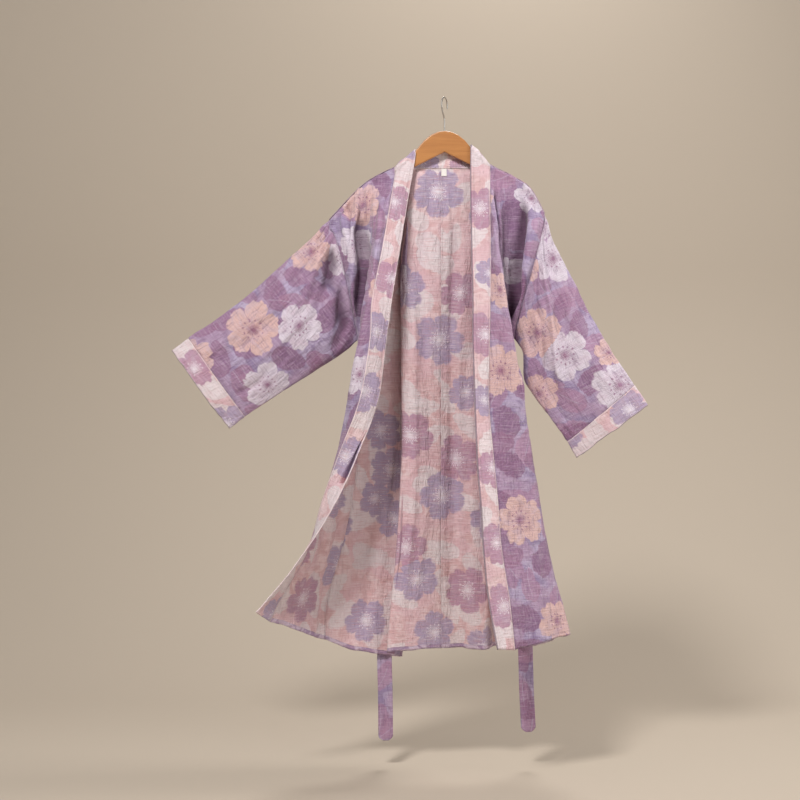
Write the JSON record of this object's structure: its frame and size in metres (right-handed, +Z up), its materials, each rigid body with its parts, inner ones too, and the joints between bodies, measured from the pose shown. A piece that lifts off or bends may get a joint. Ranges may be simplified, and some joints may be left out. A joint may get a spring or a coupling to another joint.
{
  "type": "kimono robe on a wooden hanger",
  "caption": "Open kimono robe with wide sleeves, turned cuffs, a long collar band and a tie belt, hanging flat on a wooden hanger with a wire hook.",
  "frame": {"origin": "under the crest of the hanger's hook, where a rod or peg holds it", "axes": "+Z up, -Y towards a viewer who faces the open front, +X to that viewer's right"},
  "size_m": [1.1361, 0.2575, 1.557],
  "materials": {
    "robe_cloth": "crinkled cotton, lavender and plum blossoms outside, peach ground inside",
    "band_cloth": "the same cotton with its pale face out",
    "label_cloth": "plain woven tape",
    "hanger_wood": "honey-coloured, satin lacquer",
    "hook_metal": "bright wire"
  },
  "bodies": {
    "root": {"front_left": "robe_cloth", "front_right": "robe_cloth", "back_left": "robe_cloth", "back_right": "robe_cloth", "sleeve_left": "robe_cloth", "sleeve_right": "robe_cloth", "cuff_left": "band_cloth", "cuff_right": "band_cloth", "collar_band": "band_cloth", "belt": "robe_cloth", "belt_loop_left": "robe_cloth", "belt_loop_right": "robe_cloth", "neck_label": "label_cloth", "hanger_bar": "hanger_wood", "hanger_hook": "hook_metal"}
  },
  "joints": []
}
